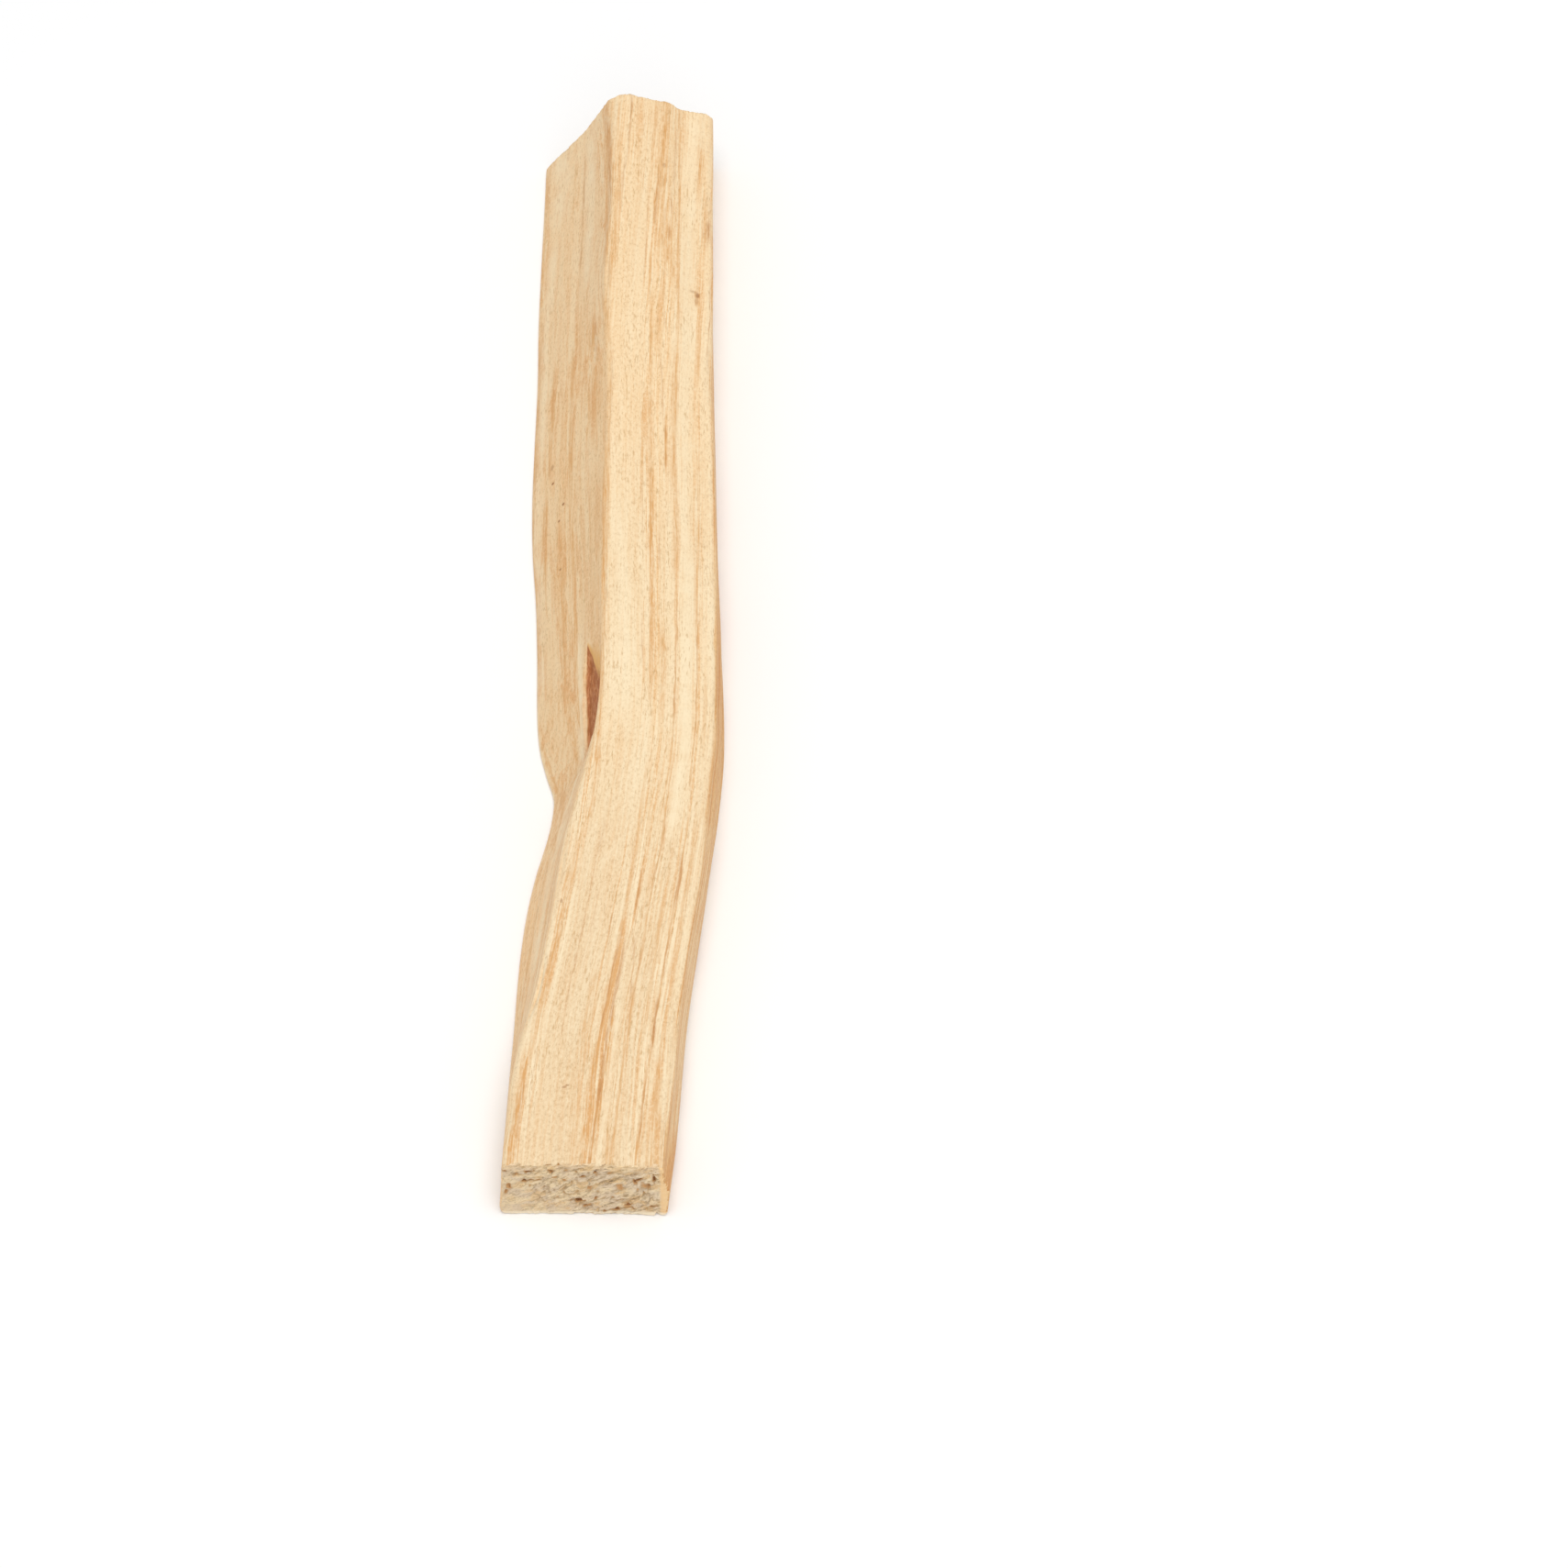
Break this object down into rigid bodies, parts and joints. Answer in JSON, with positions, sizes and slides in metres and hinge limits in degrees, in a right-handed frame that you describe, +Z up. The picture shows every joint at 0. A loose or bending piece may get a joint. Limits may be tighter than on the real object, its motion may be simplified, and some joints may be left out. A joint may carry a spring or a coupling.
{
  "type": "palo santo stick",
  "caption": "Bent stick of pale aromatic wood, split along the grain, sawn off at both ends and lying on its flat underside.",
  "frame": {"origin": "on the plane that the stick rests on, under the middle of its box", "axes": "+Y along the stick towards its thicker, ridged end, +Z up"},
  "size_m": [0.0163, 0.0995, 0.0095],
  "materials": {
    "wood": "bare split wood, dry with a faint waxy sheen, rough and torn on the sawn ends"
  },
  "bodies": {
    "root": {"palo_santo_stick": "wood"}
  },
  "joints": []
}
